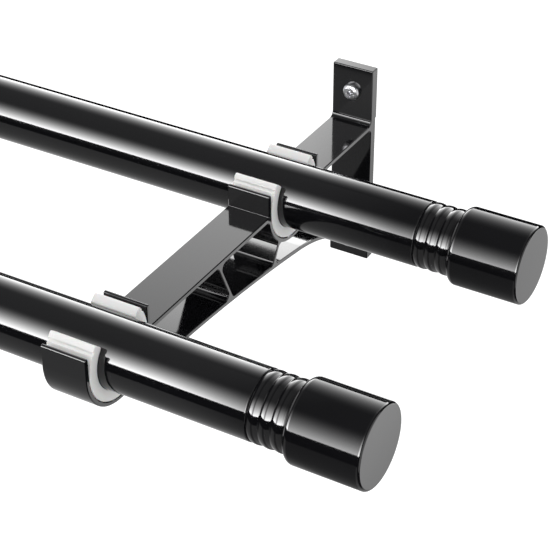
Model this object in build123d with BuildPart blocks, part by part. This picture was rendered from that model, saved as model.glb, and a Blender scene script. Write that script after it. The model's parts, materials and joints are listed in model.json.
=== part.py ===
from build123d import *
import os

# Double curtain pole, sizes in millimetres.
# X runs along the poles, +Y points into the wall and +Z is up. The wall is the plane Y = 0.
# The origin is on the wall, midway between the four wall screws.

# Poles
pole_length = 1000.0
pole_d = 28.0
pole_wall = 1.2
pole_edge_round = 0.5
rear_pole_to_wall = 75.0
pole_spacing = 130.5
pole_overhang = 62.2  # from the outer side of a bracket to the end of a pole

# Bracket, sawn from one length of extrusion
bracket_width = 20.0
bracket_edge = 0.35  # broken edge round each sawn side
plate_thickness = 5.0
plate_above_pole = 26.5
plate_below_flange = 15.37  # from where the lower flange meets it to its foot
plate_upper_pad = 25.0
plate_lower_pad = 24.0
plate_relief = 0.7
plate_corner_round = 0.5
flange_thickness = 2.2
top_flange_below_pole = 0.5
web_thickness = 1.7
corner_round = 2.4
cradle_corner_round = 0.3

# Underside of the bracket: a long arc, a tighter one, then straight to the plate
long_arc_radius = 880.0
long_arc_turn = 8.9
tight_arc_radius = 95.0
tight_arc_turn = 14.5

pick_tolerance = 0.2  # how near a corner lies to the line that it is picked by

# Webs: distance from the wall to their upper and lower ends
front_web_top = 135.5
front_web_foot = 125.4
rear_web_top = 87.0
rear_web_foot = 92.6

# Cradles and their liners
pole_play = 0.15
liner_thickness = 4.65
liner_play = 0.2
liner_width = 20.0
liner_rise = 35.5  # how far each end of the liner stands above level, degrees
liner_groove = 1.9  # radius of the groove under each bead
liner_groove_rise = 24.0
cradle_wall = 1.9
cradle_above_pole = 8.7

# Finials, turned from bar
ring_count = 3
ring_pitch = 4.85
ring_depth = 0.6
ring_valley_round = 0.6
finial_neck = 0.9  # plain neck between the last ring and the cap
cap_d = 33.0
cap_length = 31.0
cap_shoulder_round = 2.6
cap_edge_round = 1.1

# Plug that holds a finial in its pole
plug_play = 0.15
plug_length = 26.0
plug_fin_count = 4
plug_fin_width = 2.0
plug_core_d = 19.0
spigot_d = 12.0
spigot_length = 18.0
spigot_play = 0.15
spigot_end_gap = 1.0

# Wall screws
screw_d = 4.0
screw_hole_play = 0.25
screw_head_d = 8.0
screw_head_height = 2.7
screw_head_round = 1.8
screw_neck_d = 3.4  # plain neck, through the plate
screw_neck_past_plate = 0.3
screw_from_plate_top = 12.0
screw_from_plate_bottom = 9.0
screw_behind_plate = 14.0
screw_tip = 1.6
recess_width = 4.2
recess_arm = 1.0
recess_depth = 1.5

# Places that follow from the sizes above
pole_r = pole_d / 2
liner_inner_r = pole_r + pole_play
liner_outer_r = liner_inner_r + liner_thickness
cradle_inner_r = liner_outer_r + liner_play
cradle_outer_r = cradle_inner_r + cradle_wall
cradle_middle_r = cradle_inner_r + cradle_wall / 2
pole_y = {"rear": -rear_pole_to_wall, "front": -rear_pole_to_wall - pole_spacing}
sides = {"right": 1, "left": -1}


def lower_flange_skin(lift, height):
    """Draws one skin of the lower flange, from below the centre of the front pole to inside the wall plate."""
    start = Vector(pole_y["front"], height - cradle_outer_r + lift)
    long_arc = JernArc(start, (1, 0), long_arc_radius + lift, -long_arc_turn)
    tight_arc = JernArc(long_arc @ 1, long_arc % 1, tight_arc_radius + lift, -tight_arc_turn)
    bend, slope = tight_arc @ 1, tight_arc % 1
    end = bend + slope * ((-plate_thickness / 2 - bend.X) / slope.X)
    Line(bend, end)
    return start, long_arc @ 1, bend, end


flange_drop = -lower_flange_skin(0, 0)[-1].Y
plate_below_pole = flange_drop + plate_below_flange
screw_spacing = plate_above_pole + plate_below_pole - screw_from_plate_top - screw_from_plate_bottom
pole_z = screw_spacing / 2 + screw_from_plate_top - plate_above_pole
cradle_top = pole_z + cradle_above_pole
bracket_x = pole_length / 2 - pole_overhang - bracket_width / 2
plate_top = pole_z + plate_above_pole
plate_bottom = pole_z - plate_below_pole
top_flange_z = pole_z - top_flange_below_pole - flange_thickness / 2
flange_top = top_flange_z + flange_thickness / 2

os.makedirs("parts", exist_ok=True)


def save(piece, name):
    piece.part.label = name
    export_step(piece.part, f"parts/{name}.step")


def lower_flange_z(y):
    """Height of the middle of the lower flange where its long arc passes y."""
    along = y - pole_y["front"]
    drop = long_arc_radius - (long_arc_radius**2 - along**2) ** 0.5
    return pole_z - cradle_outer_r + flange_thickness / 2 - drop


# Poles
for row, y in pole_y.items():
    with BuildPart() as pole:
        with BuildSketch(Plane.YZ.offset(-pole_length / 2)):
            with Locations((y, pole_z)):
                Circle(pole_r)
                Circle(pole_r - pole_wall, mode=Mode.SUBTRACT)
        extrude(amount=pole_length)
        rims = pole.edges().filter_by(GeomType.CIRCLE)
        fillet(rims.filter_by(lambda rim: rim.radius > pole_r - pole_wall / 2), pole_edge_round)
    save(pole, f"{row}_pole")


# Side profile of the bracket, drawn with the wall at x = 0 and height along y
rear_web_across = rear_web_top - rear_pole_to_wall
rear_web_z = pole_z - (cradle_middle_r**2 - rear_web_across**2) ** 0.5
webs = (
    ((-front_web_top, top_flange_z), (-front_web_foot, lower_flange_z(-front_web_foot))),
    ((-rear_web_top, rear_web_z), (-rear_web_foot, lower_flange_z(-rear_web_foot))),
)
top_flange_spans = (
    (pole_y["rear"] + cradle_middle_r, -plate_thickness / 2),
    (pole_y["front"] + cradle_middle_r, pole_y["rear"] - cradle_middle_r),
)
relief_height = plate_top - plate_bottom - plate_upper_pad - plate_lower_pad

with BuildSketch() as bracket_profile:
    with Locations((-plate_thickness / 2, (plate_top + plate_bottom) / 2)):
        Rectangle(plate_thickness, plate_top - plate_bottom)
    with Locations((0, plate_bottom + plate_lower_pad + relief_height / 2)):
        Rectangle(2 * plate_relief, relief_height, mode=Mode.SUBTRACT)
    for start, end in top_flange_spans:
        with Locations(((start + end) / 2, top_flange_z)):
            Rectangle(end - start, flange_thickness)
    with BuildLine():
        skins = [lower_flange_skin(lift, pole_z) for lift in (0, flange_thickness)]
        Line(skins[0][0], skins[1][0])
        Line(skins[0][-1], skins[1][-1])
    make_face()
    for top, foot in webs:
        run = Vector(*top) - Vector(*foot)
        across = Vector(-run.Y, run.X).normalized() * (web_thickness / 2)
        ends = ((top, 1), (top, -1), (foot, -1), (foot, 1))
        corners = [Vector(*end) + sign * across for end, sign in ends]
        with BuildLine():
            Polyline(*corners, close=True)
        make_face()
    for y in pole_y.values():
        with Locations((y, pole_z)):
            Circle(cradle_middle_r, mode=Mode.SUBTRACT)
        with BuildLine():
            for sign in sides.values():
                outer, inner = y + sign * cradle_outer_r, y + sign * cradle_inner_r
                crown = (y + sign * cradle_middle_r, cradle_top + cradle_wall / 2)
                Line((outer, pole_z), (outer, cradle_top))
                ThreePointArc((outer, cradle_top), crown, (inner, cradle_top))
                Line((inner, cradle_top), (inner, pole_z))
            for r in (cradle_outer_r, cradle_inner_r):
                ThreePointArc((y - r, pole_z), (y, pole_z - r), (y + r, pole_z))
        make_face()
    # The arcs of the lower flange run into each other and need no round
    start, *joints, end = skins[1]
    cell_corners = [
        v
        for cell in bracket_profile.face().inner_wires()
        for v in cell.vertices()
        if min((Vector(v) - joint).length for joint in joints) > pick_tolerance
    ]
    fillet(cell_corners, corner_round)
    outline = bracket_profile.face().outer_wire().vertices()
    on_flange = [v for v in outline if abs(v.Y - flange_top) < pick_tolerance]
    fillet([v for v in on_flange if v.X < -plate_thickness - pick_tolerance], cradle_corner_round)
    outline = bracket_profile.face().outer_wire().vertices()
    on_plate = [v for v in outline if abs(v.X + plate_thickness) < pick_tolerance]
    low, high = plate_bottom + corner_round, plate_top - corner_round
    fillet([v for v in on_plate if low < v.Y < high], corner_round)
    ends = bracket_profile.vertices().group_by(Axis.Y)
    fillet(ends[0] + ends[-1], plate_corner_round)

# Brackets
for side, sign in sides.items():
    with BuildPart() as bracket:
        with BuildSketch(Plane.YZ.offset(sign * bracket_x - bracket_width / 2)):
            add(bracket_profile.sketch)
        extrude(amount=bracket_width)
        sawn = bracket.faces().sort_by(Axis.X)
        chamfer(sawn[0].edges() + sawn[-1].edges(), bracket_edge)
        for z in (screw_spacing / 2, -screw_spacing / 2):
            with Locations(Plane(origin=(sign * bracket_x, -plate_thickness, z), z_dir=(0, -1, 0))):
                Hole(screw_d / 2 + screw_hole_play, depth=2 * plate_thickness)
    save(bracket, f"{side}_bracket")

# Liners: a round channel with a bead along each end and a groove under the bead
for side, sign in sides.items():
    for row, y in pole_y.items():
        middle = Vector(y, pole_z)
        with BuildPart() as liner:
            with BuildSketch(Plane.YZ.offset(sign * bracket_x - liner_width / 2)):
                with BuildLine():
                    turn = 180 + 2 * liner_rise
                    outer = CenterArc(middle, liner_outer_r, 180 - liner_rise, turn)
                    inner = CenterArc(middle, liner_inner_r, 180 - liner_rise, turn)
                    Line(outer @ 0, inner @ 0)
                    Line(outer @ 1, inner @ 1)
                make_face()
                with Locations((outer @ 0 + inner @ 0) / 2, (outer @ 1 + inner @ 1) / 2):
                    Circle(liner_thickness / 2)
                for angle in (liner_groove_rise, 180 - liner_groove_rise):
                    with Locations(middle + Vector(liner_outer_r, 0).rotate(Axis.Z, angle)):
                        Circle(liner_groove, mode=Mode.SUBTRACT)
            extrude(amount=liner_width)
        save(liner, f"{side}_{row}_liner")

# Finials and the plugs that hold them
valley_r = pole_r - ring_depth
cap_start = ring_count * ring_pitch + finial_neck
cap_end = cap_start + cap_length
cap_r = cap_d / 2
bore_r = spigot_d / 2 + spigot_play
bore_end = spigot_length + spigot_end_gap
fin_pitch = (plug_length - plug_fin_width) / (plug_fin_count - 1)

for side, sign in sides.items():
    for row, y in pole_y.items():
        seat = Plane(origin=(sign * pole_length / 2, y, pole_z), x_dir=(sign, 0, 0), z_dir=(0, 0, 1))
        axis = Axis(seat.origin, seat.x_dir)
        with BuildPart() as finial:
            with BuildSketch(seat) as turning:
                with BuildLine():
                    for ring in range(ring_count):
                        start = ring * ring_pitch
                        crest = (start + ring_pitch / 2, pole_r)
                        ThreePointArc((start, valley_r), crest, (start + ring_pitch, valley_r))
                    Line((ring_count * ring_pitch, valley_r), (cap_start, valley_r))
                    shoulder, nose = (cap_start, cap_r), (cap_end, cap_r)
                    Polyline((cap_start, valley_r), shoulder, nose, (cap_end, 0), (bore_end, 0))
                    Polyline((bore_end, 0), (bore_end, bore_r), (0, bore_r), (0, valley_r))
                make_face()
                valleys = [v for v in turning.vertices() if abs(v.Y - valley_r) < ring_depth / 2]
                between = (ring_pitch / 2, cap_start - finial_neck / 2)
                fillet([v for v in valleys if between[0] < v.X < between[1]], ring_valley_round)
                tops = turning.vertices().group_by(Axis.Y)[-1].sort_by(Axis.X)
                fillet(tops[0], cap_shoulder_round)
                tops = turning.vertices().group_by(Axis.Y)[-1].sort_by(Axis.X)
                fillet(tops[-1], cap_edge_round)
            revolve(axis=axis)
        save(finial, f"{side}_{row}_finial")

        with BuildPart() as plug:
            with BuildSketch(seat):
                with Locations((-plug_length / 2, plug_core_d / 4)):
                    Rectangle(plug_length, plug_core_d / 2)
                with Locations((spigot_length / 2, spigot_d / 4)):
                    Rectangle(spigot_length, spigot_d / 2)
                fin_r = pole_r - pole_wall - plug_play
                for fin in range(plug_fin_count):
                    with Locations((-plug_fin_width / 2 - fin * fin_pitch, fin_r / 2)):
                        Rectangle(plug_fin_width, fin_r)
            revolve(axis=axis)
        save(plug, f"{side}_{row}_plug")

# Wall screws: pan head with a cross recess and a plain shank
for side, sign in sides.items():
    for level, z in (("upper", screw_spacing / 2), ("lower", -screw_spacing / 2)):
        seat = Plane(origin=(sign * bracket_x, -plate_thickness, z), x_dir=(1, 0, 0), z_dir=(0, -1, 0))
        with BuildPart() as screw:
            with BuildSketch(seat):
                Circle(screw_head_d / 2)
            extrude(amount=screw_head_height)
            fillet(screw.faces().sort_by(Axis.Y)[0].edges(), screw_head_round)
            with BuildSketch(seat):
                Circle(screw_neck_d / 2)
            extrude(amount=-(plate_thickness + screw_neck_past_plate))
            with BuildSketch(seat.offset(-plate_thickness - screw_neck_past_plate)):
                Circle(screw_d / 2)
            extrude(amount=-(screw_behind_plate - screw_neck_past_plate))
            chamfer(screw.faces().sort_by(Axis.Y)[-1].edges(), screw_tip)
            with BuildSketch(seat.offset(screw_head_height)):
                Rectangle(recess_width, recess_arm)
                Rectangle(recess_arm, recess_width)
            extrude(amount=-recess_depth, mode=Mode.SUBTRACT)
        save(screw, f"{side}_{level}_screw")
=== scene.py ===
import json
import math

import bpy
from bpy.props import FloatProperty, FloatVectorProperty, IntProperty, PointerProperty
from mathutils import Matrix, Vector


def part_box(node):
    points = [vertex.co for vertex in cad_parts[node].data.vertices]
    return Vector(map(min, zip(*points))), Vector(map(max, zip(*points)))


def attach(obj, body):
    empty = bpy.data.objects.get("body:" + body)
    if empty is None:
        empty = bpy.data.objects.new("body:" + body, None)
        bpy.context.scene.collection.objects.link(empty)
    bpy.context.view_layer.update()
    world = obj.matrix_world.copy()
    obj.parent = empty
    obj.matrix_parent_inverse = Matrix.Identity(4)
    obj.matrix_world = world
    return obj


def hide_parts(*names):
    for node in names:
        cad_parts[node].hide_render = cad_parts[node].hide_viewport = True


bl_info = {
    "name": "Double curtain pole",
    "version": (1, 0, 0),
    "blender": (4, 5, 0),
    "location": "3D View > Sidebar > Curtain pole",
    "description": "Finishes for a double curtain pole, its wall screws and a studio to show it in",
    "category": "Object",
}

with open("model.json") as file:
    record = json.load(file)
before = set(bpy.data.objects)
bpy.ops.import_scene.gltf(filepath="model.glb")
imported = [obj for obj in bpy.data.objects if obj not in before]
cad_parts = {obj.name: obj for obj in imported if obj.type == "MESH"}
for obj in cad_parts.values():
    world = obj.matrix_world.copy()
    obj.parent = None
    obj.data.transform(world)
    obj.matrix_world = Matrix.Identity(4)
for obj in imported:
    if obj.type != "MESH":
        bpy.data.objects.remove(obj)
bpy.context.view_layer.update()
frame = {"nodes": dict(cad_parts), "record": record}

MM = 0.001
RECORD_COLOURS = {row["slot"]: tuple(row["base_color"]) for row in frame["record"]["materials"]}
SIDES = ("right", "left")
ROWS = ("front", "rear")
SCREW_LEVELS = ("upper", "lower")

# Surfaces
GLOSS_COAT_IOR = 1.5
NYLON_IOR = 1.53
CLOUD_REACH = (0.3, 0.7)  # the values of a noise that are spread over a whole range of roughness
SMOOTH_ANGLE = 30
BRACKET_SMOOTH_ANGLE = 25
SCREW_SMOOTH_ANGLE = 35

# The camera, fitted to the picture, in the row frame: metres and degrees
CAMERA_PLACE = (0.7536, -0.6328, 0.4135)
CAMERA_AZIMUTH = 30.248
CAMERA_ELEVATION = 33.852
CAMERA_ROLL = -0.097
SENSOR_WIDTH = 36.0
CLIP_END = 100.0

# The rest of the studio
FLOOR_SIZE = 60.0
FLOOR_GLOW = 0.5
LAMP_PLACE = (-1.0, -1.1, 2.0)
LAMP_SIZE = 1.6
PANEL_STEPS = 24

# How the glow of a panel is spread along its length: pairs of shares, each with the two distances from
# mid-length between which the first share passes into the second
SPREADS = {
    "front": ((0.35, 1.0, 0.1, 0.24), (1.0, 0.02, 0.95, 1.4)),
    "back": ((0.5, 1.0, 0.2, 0.33), (1.0, 0.02, 0.95, 1.4)),
    "ends": ((0.5, 1.0, 1.1, 1.2),),
}

# Curved panels round the poles, seen only in their gloss. Angles turn about the poles, from level at the
# front, upwards. Radiance falls from the first value to the second, as the power of the distance left.
PANELS = (
    # name, start, end, radiance at the start, radiance at the end, power, spread
    ("front_softbox", 4.0, 58.0, 28.0, 0.3, 2.4, "front"),
    ("roof_cloth", 58.0, 104.0, 0.3, 0.3, 1.0, "front"),
    ("back_softbox", 169.0, 104.0, 9.0, 0.3, 1.8, "back"),
    ("back_flag", 169.0, 204.0, 0.0, 0.0, 1.0, "front"),
    ("back_card", 204.0, 232.0, 2.4, 1.15, 1.0, "ends"),
    ("front_flag", -20.0, 4.0, 0.0, 0.0, 1.0, "front"),
    ("front_cloth", -60.0, -20.0, 0.42, 0.42, 1.0, "front"),
    ("floor_card", -128.0, -60.0, 0.8, 0.42, 1.0, "front"),
)


def deselect_all():
    bpy.ops.object.select_all(action="DESELECT")


def active():
    return bpy.context.view_layer.objects.active


def make_active(obj):
    deselect_all()
    obj.select_set(True)
    bpy.context.view_layer.objects.active = obj


def apply_modifiers(obj):
    make_active(obj)
    for modifier in list(obj.modifiers):
        bpy.ops.object.modifier_apply(modifier=modifier.name)


def apply_place(obj):
    make_active(obj)
    bpy.ops.object.transform_apply(location=True, rotation=True, scale=True)


def select_where(obj, kind, test):
    """Selects the vertices or edges of obj that pass the test, and leaves it in edit mode."""
    make_active(obj)
    bpy.ops.object.mode_set(mode="EDIT")
    bpy.ops.mesh.select_mode(type={"vertices": "VERT", "edges": "EDGE"}[kind])
    bpy.ops.mesh.select_all(action="DESELECT")
    bpy.ops.object.mode_set(mode="OBJECT")
    for element in getattr(obj.data, kind):
        element.select = test(element)
    bpy.ops.object.mode_set(mode="EDIT")


def close_edit():
    bpy.ops.object.mode_set(mode="OBJECT")


class Tree:
    """A material's nodes, with short ways to add the ones used here."""

    def __init__(self, name):
        self.material = bpy.data.materials.new(name)
        self.material.use_nodes = True
        self.nodes = self.material.node_tree.nodes
        self.links = self.material.node_tree.links
        self.nodes.clear()
        self.output = self.nodes.new("ShaderNodeOutputMaterial")

    def add(self, kind, **values):
        node = self.nodes.new("ShaderNode" + kind)
        for key, value in values.items():
            setattr(node, key, value)
        return node

    def link(self, source, target):
        self.links.new(source, target)

    def place(self):
        return self.add("TexCoord").outputs["Object"]

    def stretched(self, scale):
        """Object coordinates with each axis scaled."""
        mapping = self.add("Mapping")
        mapping.inputs["Scale"].default_value = scale
        self.link(self.place(), mapping.inputs["Vector"])
        return mapping.outputs["Vector"]

    def noise(self, vector, scale, detail):
        node = self.add("TexNoise")
        node.inputs["Scale"].default_value = scale
        node.inputs["Detail"].default_value = detail
        self.link(vector, node.inputs["Vector"])
        return node.outputs["Fac"]

    def ranged(self, value, low, high, start=0.0, end=1.0):
        """Turns the range from start to end into the one from low to high."""
        node = self.add("MapRange")
        node.inputs["From Min"].default_value = start
        node.inputs["From Max"].default_value = end
        node.inputs["To Min"].default_value = low
        node.inputs["To Max"].default_value = high
        self.link(value, node.inputs["Value"])
        return node.outputs["Result"]

    def math(self, operation, first, second):
        node = self.add("Math", operation=operation)
        for socket, value in zip(node.inputs, (first, second)):
            if isinstance(value, float):
                socket.default_value = value
            else:
                self.link(value, socket)
        return node.outputs[0]

    def bump(self, height, distance, below=None):
        node = self.add("Bump")
        node.inputs["Strength"].default_value = 1.0
        node.inputs["Distance"].default_value = distance
        self.link(height, node.inputs["Height"])
        if below is not None:
            self.link(below, node.inputs["Normal"])
        return node.outputs["Normal"]

    def blend(self, share, first, second):
        node = self.add("Mix", data_type="RGBA")
        for socket, colour in zip([s for s in node.inputs if s.type == "RGBA"], (first, second)):
            socket.default_value = (*colour, 1.0)
        self.link(share, node.inputs[0])
        return [s for s in node.outputs if s.type == "RGBA"][0]

    def shader(self, **sockets):
        node = self.add("BsdfPrincipled")
        for key, value in sockets.items():
            node.inputs[key.replace("_", " ")].default_value = value
        self.link(node.outputs[0], self.output.inputs["Surface"])
        return node

    def colour_by(self, cloud, shader, colour, shade):
        """Lets a noise darken the colour, down to its shade."""
        dark = [channel * shade for channel in colour]
        self.link(self.blend(cloud, dark, colour), shader.inputs["Base Color"])


def give(names, material, smooth_angle):
    """Puts one material on each named node of the frame and smooths its shading."""
    for name in names:
        node = frame["nodes"][name]
        node.data.materials.clear()
        node.data.materials.append(material)
        for polygon in node.data.polygons:
            polygon.material_index = 0
        make_active(node)
        bpy.ops.object.shade_smooth_by_angle(angle=math.radians(smooth_angle))
    deselect_all()


def gloss_coat(name, settings, grain_along, grain_across):
    """Black gloss coat with a slight orange peel. The fine grain of the metal shows through it."""
    tree = Tree(name)
    place = tree.place()
    grain = tree.noise(tree.stretched((grain_along, grain_across, grain_across)), scale=1.0, detail=3.0)
    peel = tree.noise(place, scale=settings.peel_scale, detail=1.0)
    cloud = tree.noise(place, scale=settings.cloud_scale, detail=3.0)
    shader = tree.shader(IOR=GLOSS_COAT_IOR)
    tree.colour_by(cloud, shader, settings.colour, shade=0.7)
    least, most = settings.roughness * 0.85, settings.roughness * 1.15
    tree.link(tree.ranged(cloud, least, most, *CLOUD_REACH), shader.inputs["Roughness"])
    waves = tree.bump(peel, settings.peel_depth * MM)
    tree.link(tree.bump(grain, settings.grain_depth * MM, waves), shader.inputs["Normal"])
    return tree.material


def white_nylon(settings):
    """Satin skin of white moulded nylon."""
    tree = Tree("white_nylon_skin")
    place = tree.place()
    fine = tree.noise(place, scale=2400.0, detail=2.0)
    cloud = tree.noise(place, scale=90.0, detail=3.0)
    shader = tree.shader(
        Subsurface_Weight=0.12, Subsurface_Scale=0.002, IOR=NYLON_IOR, Specular_IOR_Level=0.25,
    )
    tree.colour_by(cloud, shader, settings.colour, shade=0.97)
    least, most = settings.roughness * 0.9, settings.roughness * 1.1
    tree.link(tree.ranged(cloud, least, most, *CLOUD_REACH), shader.inputs["Roughness"])
    tree.link(tree.bump(fine, 0.01 * MM), shader.inputs["Normal"])
    return tree.material


def dark_nylon(settings):
    """Dull skin of dark moulded nylon."""
    tree = Tree("dark_nylon_skin")
    place = tree.place()
    fine = tree.noise(place, scale=1800.0, detail=2.0)
    cloud = tree.noise(place, scale=120.0, detail=3.0)
    shader = tree.shader(IOR=NYLON_IOR)
    tree.colour_by(cloud, shader, settings.colour, shade=0.8)
    tree.link(tree.ranged(cloud, 0.45, 0.6), shader.inputs["Roughness"])
    tree.link(tree.bump(fine, 0.02 * MM), shader.inputs["Normal"])
    return tree.material


def bright_plating(settings):
    """Bright plating, a little cloudy, over a fine turned grain."""
    tree = Tree("bright_plating")
    place = tree.place()
    fine = tree.noise(place, scale=3000.0, detail=2.0)
    cloud = tree.noise(place, scale=700.0, detail=3.0)
    shader = tree.shader(Metallic=1.0)
    tree.colour_by(cloud, shader, settings.colour, shade=0.85)
    tree.link(tree.ranged(cloud, 0.24, 0.34), shader.inputs["Roughness"])
    tree.link(tree.bump(fine, 0.002 * MM), shader.inputs["Normal"])
    return tree.material


def curved_sheet(name, radius, start, end, length, steps):
    """A sheet curved about the X axis, spun from one straight edge. Degrees, from level at the front."""
    first = math.radians(start)
    middle = (0.0, -radius * math.cos(first), radius * math.sin(first))
    bpy.ops.mesh.primitive_plane_add(size=length, location=middle)
    sheet = active()
    sheet.name = name
    apply_place(sheet)
    select_where(sheet, "vertices", lambda v: v.co.y > middle[1])
    bpy.ops.mesh.delete(type="VERT")
    bpy.ops.mesh.select_all(action="SELECT")
    bpy.ops.transform.translate(value=(0.0, length / 2, 0.0))
    turn = math.radians(end - start)
    bpy.ops.mesh.spin(steps=steps, angle=turn, center=(0.0, 0.0, 0.0), axis=(1.0, 0.0, 0.0))
    close_edit()
    return sheet


def turned(name, rings, sides):
    """A solid turned about Z, drawn up ring by ring from a disc. A ring is its radius and its height."""
    radius, height = rings[0]
    bpy.ops.mesh.primitive_circle_add(
        vertices=sides, radius=radius, fill_type="NGON", location=(0.0, 0.0, height),
    )
    solid = active()
    solid.name = name
    apply_place(solid)
    bpy.ops.object.mode_set(mode="EDIT")
    bpy.ops.mesh.select_all(action="SELECT")
    for next_radius, next_height in rings[1:]:
        bpy.ops.mesh.extrude_region_move(
            TRANSFORM_OT_translate={"value": (0.0, 0.0, next_height - height)},
        )
        grow = next_radius / radius
        bpy.ops.transform.resize(value=(grow, grow, 1.0), center_override=(0.0, 0.0, next_height))
        radius, height = next_radius, next_height
    bpy.ops.mesh.select_all(action="SELECT")
    bpy.ops.mesh.normals_make_consistent(inside=False)
    close_edit()
    return solid


def cut_with(piece, tool):
    """Takes the form of the tool out of the piece, and removes the tool."""
    cut = piece.modifiers.new("cut", "BOOLEAN")
    cut.object = tool
    cut.operation = "DIFFERENCE"
    cut.solver = "EXACT"
    apply_modifiers(piece)
    bpy.data.objects.remove(tool)


def fit_copy(pattern, node, place, turn=(0.0, 0.0, 0.0)):
    """Puts a copy of the pattern in the place of a node of the frame."""
    piece = pattern.copy()
    piece.data = pattern.data.copy()
    bpy.context.scene.collection.objects.link(piece)
    piece.name = f"{node}_detailed"
    piece.rotation_euler = turn
    piece.location = place
    apply_place(piece)
    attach(piece, "root")
    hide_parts(node)


class CoatSettings(bpy.types.PropertyGroup):
    colour: FloatVectorProperty(
        name="Coat colour", description="Colour of the black coat", subtype="COLOR", size=3,
        default=RECORD_COLOURS["black_steel"], min=0.0, max=1.0,
    )
    roughness: FloatProperty(
        name="Roughness", description="Roughness of the coat", default=0.075, min=0.0, max=1.0,
        subtype="FACTOR",
    )
    peel_scale: FloatProperty(
        name="Orange peel scale", description="Waves to the metre in the orange peel", default=420.0,
    )
    peel_depth: FloatProperty(
        name="Orange peel depth", description="Depth of the orange peel in millimetres", default=0.0018,
    )
    cloud_scale: FloatProperty(
        name="Cloud scale", description="Soft clouds to the metre in the sheen of the coat", default=38.0,
    )
    grain_depth: FloatProperty(
        name="Grain depth", description="Depth of the metal's grain in millimetres", default=0.0008,
    )


class LinerSettings(bpy.types.PropertyGroup):
    colour: FloatVectorProperty(
        name="Liner colour", description="Colour of the moulded nylon", subtype="COLOR", size=3,
        default=RECORD_COLOURS["white_nylon"], min=0.0, max=1.0,
    )
    roughness: FloatProperty(
        name="Roughness", description="Roughness of the moulded nylon", default=0.55, min=0.0, max=1.0,
        subtype="FACTOR",
    )
    thickness: FloatProperty(
        name="Thickness", description="Thickness of the channel", default=4.65 * MM, unit="LENGTH",
    )
    rise: FloatProperty(
        name="Rise", description="How far each round end stands above level, in degrees", default=35.5,
    )
    end_round: FloatProperty(
        name="End round", description="Radius on both corners of each end", default=1.6 * MM, unit="LENGTH",
    )
    groove_r: FloatProperty(
        name="Groove radius", description="Radius of the groove under each round end", default=0.7 * MM,
        unit="LENGTH",
    )
    groove_rise: FloatProperty(
        name="Groove rise", description="How far each groove stands above level, in degrees", default=30.5,
    )
    edge_round: FloatProperty(
        name="Edge round", description="Broken edge round the moulded ends", default=0.25 * MM,
        unit="LENGTH",
    )
    steps: IntProperty(
        name="Steps", description="Steps round the channel", default=72, min=24, max=144,
    )


class PlugSettings(bpy.types.PropertyGroup):
    colour: FloatVectorProperty(
        name="Plug colour", description="Colour of the finial plugs", subtype="COLOR", size=3,
        default=RECORD_COLOURS["dark_nylon"], min=0.0, max=1.0,
    )


class ScrewSettings(bpy.types.PropertyGroup):
    colour: FloatVectorProperty(
        name="Plating colour", description="Colour of the bright plating", subtype="COLOR", size=3,
        default=RECORD_COLOURS["bright_steel"], min=0.0, max=1.0,
    )
    head_height: FloatProperty(
        name="Head height", description="Height of the pan head", default=2.7 * MM, unit="LENGTH",
    )
    head_round: FloatProperty(
        name="Head round", description="Radius round the top of the pan head", default=1.8 * MM,
        unit="LENGTH",
    )
    neck_d: FloatProperty(
        name="Neck diameter", description="Diameter of the plain neck", default=3.4 * MM, unit="LENGTH",
    )
    neck_length: FloatProperty(
        name="Neck length", description="Length of the plain neck", default=5.3 * MM, unit="LENGTH",
    )
    thread_d: FloatProperty(
        name="Thread diameter", description="Outer diameter of the thread", default=4.0 * MM, unit="LENGTH",
    )
    core_d: FloatProperty(
        name="Core diameter", description="Diameter at the root of the thread", default=2.7 * MM,
        unit="LENGTH",
    )
    pitch: FloatProperty(
        name="Thread pitch", description="Distance from one turn to the next", default=1.4 * MM,
        unit="LENGTH",
    )
    point_length: FloatProperty(
        name="Point length", description="Length of the cone at the point", default=3.2 * MM, unit="LENGTH",
    )
    recess_width: FloatProperty(
        name="Recess width", description="Width of the cross recess", default=4.2 * MM, unit="LENGTH",
    )
    recess_arm: FloatProperty(
        name="Recess arm", description="Width of one arm of the recess", default=1.0 * MM, unit="LENGTH",
    )
    recess_depth: FloatProperty(
        name="Recess depth", description="Depth of the cross recess", default=1.5 * MM, unit="LENGTH",
    )
    steps: IntProperty(
        name="Steps", description="Steps round the screw", default=48, min=12, max=96,
    )


class StudioSettings(bpy.types.PropertyGroup):
    lens: FloatProperty(
        name="Lens", description="Focal length of the camera in millimetres", default=116.1, min=10.0,
    )
    floor_drop: FloatProperty(
        name="Floor drop", description="Height of the poles above the floor", default=1.9, unit="LENGTH",
    )
    floor_colour: FloatVectorProperty(
        name="Floor colour", description="Colour of the floor", subtype="COLOR", size=3,
        default=(0.82, 0.82, 0.82), min=0.0, max=1.0,
    )
    ambient: FloatProperty(
        name="Ambient light", description="Strength of the even light from all round", default=0.92,
        min=0.0,
    )
    lamp_power: FloatProperty(
        name="Lamp power", description="Power of the soft lamp above the front", default=14.0, unit="POWER",
    )
    panel_radius: FloatProperty(
        name="Panel radius", description="Distance of the curved panels from the poles", default=1.6,
        unit="LENGTH",
    )
    panel_length: FloatProperty(
        name="Panel length", description="Length of the curved panels along the poles", default=5.0,
        unit="LENGTH",
    )


class FinishPoles(bpy.types.Operator):
    """Puts a gloss black coat over the drawn grain of the two poles"""

    bl_idname = "curtain_pole.finish_poles"
    bl_label = "Finish the poles"

    def execute(self, context):
        names = [f"{row}_pole" for row in ROWS]
        settings = context.scene.pole_coat
        coat = gloss_coat("black_steel_coat", settings, grain_along=1.5, grain_across=900.0)
        give(names, coat, SMOOTH_ANGLE)
        return {"FINISHED"}


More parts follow.
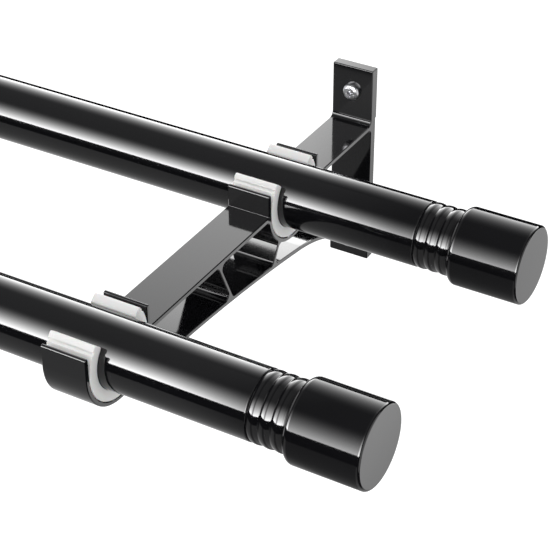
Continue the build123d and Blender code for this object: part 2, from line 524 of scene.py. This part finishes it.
class FinishFinials(bpy.types.Operator):
    """Puts a gloss black coat over the turned grain of the four finials"""

    bl_idname = "curtain_pole.finish_finials"
    bl_label = "Finish the finials"

    def execute(self, context):
        names = [f"{side}_{row}_finial" for side in SIDES for row in ROWS]
        settings = context.scene.pole_coat
        coat = gloss_coat("black_finial_coat", settings, grain_along=2600.0, grain_across=25.0)
        give(names, coat, SMOOTH_ANGLE)
        return {"FINISHED"}


class FinishBrackets(bpy.types.Operator):
    """Puts a gloss black coat over the die lines of the two extruded brackets"""

    bl_idname = "curtain_pole.finish_brackets"
    bl_label = "Finish the brackets"

    def execute(self, context):
        names = [f"{side}_bracket" for side in SIDES]
        settings = context.scene.bracket_coat
        coat = gloss_coat("black_bracket_coat", settings, grain_along=1.2, grain_across=650.0)
        give(names, coat, BRACKET_SMOOTH_ANGLE)
        return {"FINISHED"}


class FinishPlugs(bpy.types.Operator):
    """Gives the finial plugs the dull skin of dark moulded nylon"""

    bl_idname = "curtain_pole.finish_plugs"
    bl_label = "Finish the plugs"

    def execute(self, context):
        names = [f"{side}_{row}_plug" for side in SIDES for row in ROWS]
        give(names, dark_nylon(context.scene.plug_finish), SMOOTH_ANGLE)
        return {"FINISHED"}


class BuildLiners(bpy.types.Operator):
    """Models the white nylon liners: a round channel with rounded ends and a groove under each end"""

    bl_idname = "curtain_pole.build_liners"
    bl_label = "Build the liners"

    def execute(self, context):
        settings = context.scene.liner_finish
        deselect_all()
        low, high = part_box("right_front_liner")
        self.outer_r = (high.y - low.y) / 2
        self.width = high.x - low.x
        pattern = self.model_liner(settings)
        pattern.data.materials.append(white_nylon(settings))
        for side in SIDES:
            for row in ROWS:
                node = f"{side}_{row}_liner"
                low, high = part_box(node)
                place = ((low.x + high.x) / 2, (low.y + high.y) / 2, low.z + self.outer_r)
                fit_copy(pattern, node, place)
        bpy.data.objects.remove(pattern)
        return {"FINISHED"}

    def model_liner(self, settings):
        """One liner about the X axis, open at the top."""
        middle_r = self.outer_r - settings.thickness / 2
        limit = settings.rise + math.degrees(settings.end_round / middle_r)
        liner = curved_sheet("pattern_liner", middle_r, -180.0 - limit, limit, self.width, settings.steps)
        thicken = liner.modifiers.new("thicken", "SOLIDIFY")
        thicken.thickness = settings.thickness
        thicken.offset = 0.0
        thicken.use_even_offset = True
        apply_modifiers(liner)
        self.round_ends(liner, settings, limit)
        for groove_rise in (settings.groove_rise, 180.0 - settings.groove_rise):
            self.cut_groove(liner, settings, math.radians(groove_rise))
        soften = liner.modifiers.new("soften", "BEVEL")
        soften.width = settings.edge_round
        soften.segments = 2
        soften.limit_method = "ANGLE"
        soften.angle_limit = math.radians(50)
        apply_modifiers(liner)
        bpy.ops.object.shade_smooth_by_angle(angle=math.radians(SMOOTH_ANGLE))
        return liner

    def round_ends(self, liner, settings, limit):
        """Rounds the long edges of both ends, which stand at the limit, in degrees above level."""
        vertices = liner.data.vertices
        tolerance = 1.0

        def runs_along_an_end(edge):
            first, second = (vertices[index].co for index in edge.vertices)
            rise = math.degrees(math.atan2(first.z, abs(first.y)))
            return abs(first.x - second.x) > self.width / 2 and rise > limit - tolerance

        select_where(liner, "edges", runs_along_an_end)
        bpy.ops.mesh.bevel(offset=settings.end_round, segments=8, profile=0.5, clamp_overlap=True)
        close_edit()

    def cut_groove(self, liner, settings, angle):
        """Cuts a groove into the outer side of the liner, past both its ends."""
        place = (0.0, -self.outer_r * math.cos(angle), self.outer_r * math.sin(angle))
        bpy.ops.mesh.primitive_cylinder_add(
            vertices=24, radius=settings.groove_r, depth=self.width * 1.5, location=place,
            rotation=(0.0, math.pi / 2, 0.0),
        )
        cut_with(liner, active())


class BuildScrews(bpy.types.Operator):
    """Models the wall screws with a cross recess, a plain neck and a cut thread"""

    bl_idname = "curtain_pole.build_screws"
    bl_label = "Build the wall screws"

    def execute(self, context):
        settings = context.scene.screw_finish
        deselect_all()
        low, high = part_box("right_upper_screw")
        self.head_r = (high.x - low.x) / 2
        self.length = high.y - low.y - settings.head_height
        pattern = self.model_screw(settings)
        pattern.data.materials.append(bright_plating(settings))
        for side in SIDES:
            for level in SCREW_LEVELS:
                node = f"{side}_{level}_screw"
                low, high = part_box(node)
                place = ((low.x + high.x) / 2, low.y + settings.head_height, (low.z + high.z) / 2)
                fit_copy(pattern, node, place, (math.pi / 2, 0.0, 0.0))
        bpy.data.objects.remove(pattern)
        return {"FINISHED"}

    def model_screw(self, settings):
        """One screw along Z, with the underside of its head at height 0."""
        neck_r = settings.neck_d / 2
        core_r = settings.core_d / 2
        tip_r = core_r * 0.1
        round_r = settings.head_round
        point = -self.length
        rings = [
            (tip_r, point),
            (core_r, point + settings.point_length),
            (core_r, -settings.neck_length - settings.pitch),
            (neck_r, -settings.neck_length),
            (neck_r, 0.0),
            (self.head_r, 0.0),
        ]
        arc_steps = 8
        for step in range(arc_steps + 1):
            angle = step / arc_steps * math.pi / 2
            rings.append((
                self.head_r - round_r + round_r * math.cos(angle),
                settings.head_height - round_r + round_r * math.sin(angle),
            ))
        screw = turned("pattern_screw", rings, settings.steps)
        for arm_turn in (0.0, math.pi / 2):
            self.cut_arm(screw, settings, arm_turn)
        thread = self.wind_thread(settings, point)
        make_active(screw)
        thread.select_set(True)
        bpy.ops.object.join()
        bpy.ops.object.shade_smooth_by_angle(angle=math.radians(SCREW_SMOOTH_ANGLE))
        return screw

    def cut_arm(self, screw, settings, arm_turn):
        """Cuts one tapered arm of the cross recess into the head."""
        foot_share = 0.55
        bpy.ops.mesh.primitive_cube_add(size=1.0, location=(0.0, 0.0, settings.head_height))
        arm = active()
        arm.scale = (settings.recess_width, settings.recess_arm, 2 * settings.recess_depth)
        arm.rotation_euler = (0.0, 0.0, arm_turn)
        apply_place(arm)
        select_where(arm, "vertices", lambda v: v.co.z < settings.head_height)
        bpy.ops.transform.resize(value=(foot_share, foot_share, 1.0), center_override=(0.0, 0.0, 0.0))
        close_edit()
        cut_with(screw, arm)

    def wind_thread(self, settings, point):
        """A three-sided ridge wound about the core, fading out at the neck and drawn in over the point."""
        first_turn = 0.4  # from the point to the start of the thread, in pitches
        depth_share = 1.15  # how deep the ridge reaches, against the depth of the thread
        triangle_height = 1.5  # of an even triangle, in radii of the circle through its corners
        least_taper = 0.12
        core_r = settings.core_d / 2
        faded_r = core_r * 0.9  # inside the core
        depth = (settings.thread_d - settings.core_d) / 2 * depth_share
        size = depth / triangle_height
        start = point + settings.pitch * first_turn
        stop = -settings.neck_length
        bpy.ops.mesh.primitive_circle_add(
            vertices=3, radius=size, location=(settings.thread_d / 2 - size, 0.0, start),
            rotation=(0.0, math.pi / 2, -math.pi / 2),
        )
        thread = active()
        apply_place(thread)
        wind = thread.modifiers.new("wind", "SCREW")
        wind.screw_offset = settings.pitch
        wind.iterations = int((stop - start - 2 * size) / settings.pitch)
        wind.steps = settings.steps // 2
        wind.render_steps = wind.steps
        apply_modifiers(thread)
        bpy.ops.object.mode_set(mode="EDIT")
        bpy.ops.mesh.select_all(action="SELECT")
        bpy.ops.mesh.fill_holes(sides=3)
        bpy.ops.mesh.normals_make_consistent(inside=False)
        close_edit()
        for vertex in thread.data.vertices:
            radius = math.hypot(vertex.co.x, vertex.co.y)
            taper = min(1.0, max(least_taper, (vertex.co.z - point) / settings.point_length))
            fade = min(1.0, max(0.0, (stop - size - vertex.co.z) / settings.pitch))
            ridge = faded_r + (radius - faded_r) * fade
            vertex.co.x *= ridge / radius * taper
            vertex.co.y *= ridge / radius * taper
        return thread


def seen_directly(nodes, links):
    """1 for rays from the camera, from gloss and through glass, and 0 for the rest."""
    rays = nodes.new("ShaderNodeLightPath")
    seen = rays.outputs["Is Camera Ray"]
    for ray in ("Is Glossy Ray", "Is Transmission Ray"):
        either = nodes.new("ShaderNodeMath")
        either.operation = "MAXIMUM"
        links.new(seen, either.inputs[0])
        links.new(rays.outputs[ray], either.inputs[1])
        seen = either.outputs[0]
    return seen


def floor_material(settings):
    """White floor that keeps the shadow: its own light is added only where it is seen directly."""
    tree = Tree("white_floor")
    speckle = tree.noise(tree.place(), scale=5.0, detail=2.0)
    shader = tree.shader(Roughness=0.9)
    tree.colour_by(speckle, shader, settings.floor_colour, shade=0.98)
    shader.inputs["Emission Color"].default_value = (1.0, 1.0, 1.0, 1.0)
    glow = tree.math("MULTIPLY", seen_directly(tree.nodes, tree.links), FLOOR_GLOW)
    tree.link(glow, shader.inputs["Emission Strength"])
    return tree.material


def panel_material(name, start, end, first, last, power, spread):
    """Glow that fades with the angle about the poles and is spread along their length."""
    tree = Tree(name)
    axes = tree.add("SeparateXYZ")
    tree.link(tree.place(), axes.inputs[0])
    front = tree.math("MULTIPLY", axes.outputs["Y"], -1.0)
    angle = tree.math("ARCTAN2", axes.outputs["Z"], front)
    if end > 180:
        past_half = tree.math("ADD", angle, 2 * math.pi)
        angle = tree.math("MODULO", past_half, 2 * math.pi)
    left = tree.ranged(angle, 1.0, 0.0, math.radians(start), math.radians(end))
    level = tree.ranged(tree.math("POWER", left, power), last, first)
    across = tree.math("ABSOLUTE", axes.outputs["X"], 0.0)
    for share, next_share, near, far in SPREADS[spread]:
        level = tree.math("MULTIPLY", level, tree.ranged(across, share, next_share, near, far))
    glow = tree.add("Emission")
    tree.link(level, glow.inputs["Strength"])
    tree.link(glow.outputs[0], tree.output.inputs["Surface"])
    tree.material.cycles.emission_sampling = "NONE"
    return tree.material


class BuildStudio(bpy.types.Operator):
    """Builds the floor, the curved panels that the gloss shows, the soft light and the camera"""

    bl_idname = "curtain_pole.build_studio"
    bl_label = "Build the studio"

    def execute(self, context):
        settings = context.scene.studio
        deselect_all()
        self.add_camera(settings)
        self.add_floor(settings)
        self.add_world(settings)
        self.add_lamp(settings)
        radius, length = settings.panel_radius, settings.panel_length
        for name, start, end, *light in PANELS:
            panel = curved_sheet(name, radius, start, end, length, PANEL_STEPS)
            panel.data.materials.append(panel_material(name, start, end, *light))
            panel.visible_camera = False
            panel.visible_diffuse = False
            panel.visible_shadow = False
            panel.visible_transmission = False
        context.scene.view_settings.view_transform = "Standard"
        return {"FINISHED"}

    def add_camera(self, settings):
        azimuth = math.radians(CAMERA_AZIMUTH)
        elevation = math.radians(CAMERA_ELEVATION)
        back = Vector((
            math.sin(azimuth) * math.cos(elevation),
            -math.cos(azimuth) * math.cos(elevation),
            math.sin(elevation),
        ))
        level = Vector((math.cos(azimuth), math.sin(azimuth), 0.0))
        up = back.cross(level)
        axes = Matrix((level, up, back)).transposed()
        bpy.ops.object.camera_add(location=CAMERA_PLACE)
        camera = active()
        camera.name = "camera"
        camera.rotation_euler = (axes @ Matrix.Rotation(math.radians(CAMERA_ROLL), 3, "Z")).to_euler()
        camera.data.lens = settings.lens
        camera.data.sensor_width = SENSOR_WIDTH
        camera.data.clip_end = CLIP_END
        bpy.context.scene.camera = camera

    def add_floor(self, settings):
        bpy.ops.mesh.primitive_plane_add(size=FLOOR_SIZE, location=(0.0, 0.0, -settings.floor_drop))
        floor = active()
        floor.name = "floor"
        floor.data.materials.append(floor_material(settings))

    def add_world(self, settings):
        """White where it is seen directly, and a little less as light."""
        world = bpy.data.worlds.new("studio_air")
        world.use_nodes = True
        bpy.context.scene.world = world
        nodes, links = world.node_tree.nodes, world.node_tree.links
        background = nodes["Background"]
        background.inputs["Color"].default_value = (1.0, 1.0, 1.0, 1.0)
        strength = nodes.new("ShaderNodeMapRange")
        strength.inputs["To Min"].default_value = settings.ambient
        strength.inputs["To Max"].default_value = 1.0
        links.new(seen_directly(nodes, links), strength.inputs["Value"])
        links.new(strength.outputs["Result"], background.inputs["Strength"])

    def add_lamp(self, settings):
        place = Vector(LAMP_PLACE)
        bpy.ops.object.light_add(type="AREA", location=place)
        lamp = active()
        lamp.name = "soft_lamp"
        lamp.rotation_euler = (-place).to_track_quat("-Z", "Y").to_euler()
        lamp.data.shape = "SQUARE"
        lamp.data.size = LAMP_SIZE
        lamp.data.energy = settings.lamp_power
        lamp.visible_glossy = False


class CurtainPolePanel(bpy.types.Panel):
    """Sizes and finishes of the curtain pole and its studio"""

    bl_idname = "VIEW3D_PT_curtain_pole"
    bl_label = "Curtain pole"
    bl_space_type = "VIEW_3D"
    bl_region_type = "UI"
    bl_category = "Curtain pole"

    def draw(self, context):
        for name, (settings_type, operators) in SECTIONS.items():
            box = self.layout.box()
            settings = getattr(context.scene, name)
            for prop in settings_type.__annotations__:
                box.prop(settings, prop)
            for operator in operators:
                box.operator(operator.bl_idname)


SECTIONS = {
    "pole_coat": (CoatSettings, (FinishPoles, FinishFinials)),
    "bracket_coat": (CoatSettings, (FinishBrackets,)),
    "liner_finish": (LinerSettings, (BuildLiners,)),
    "plug_finish": (PlugSettings, (FinishPlugs,)),
    "screw_finish": (ScrewSettings, (BuildScrews,)),
    "studio": (StudioSettings, (BuildStudio,)),
}
CLASSES = (
    CoatSettings, LinerSettings, PlugSettings, ScrewSettings, StudioSettings,
    FinishPoles, FinishFinials, FinishBrackets, BuildLiners, FinishPlugs, BuildScrews, BuildStudio,
    CurtainPolePanel,
)


def register():
    for item in CLASSES:
        bpy.utils.register_class(item)
    for name, (settings_type, _) in SECTIONS.items():
        setattr(bpy.types.Scene, name, PointerProperty(type=settings_type))


def unregister():
    for name in SECTIONS:
        delattr(bpy.types.Scene, name)
    for item in reversed(CLASSES):
        bpy.utils.unregister_class(item)


def main():
    register()
    bpy.ops.curtain_pole.finish_poles()
    bpy.ops.curtain_pole.finish_finials()
    bpy.ops.curtain_pole.finish_brackets()
    bpy.ops.curtain_pole.build_liners()
    bpy.ops.curtain_pole.finish_plugs()
    bpy.ops.curtain_pole.build_screws()
    bpy.ops.curtain_pole.build_studio()


if __name__ == "__main__":
    main()
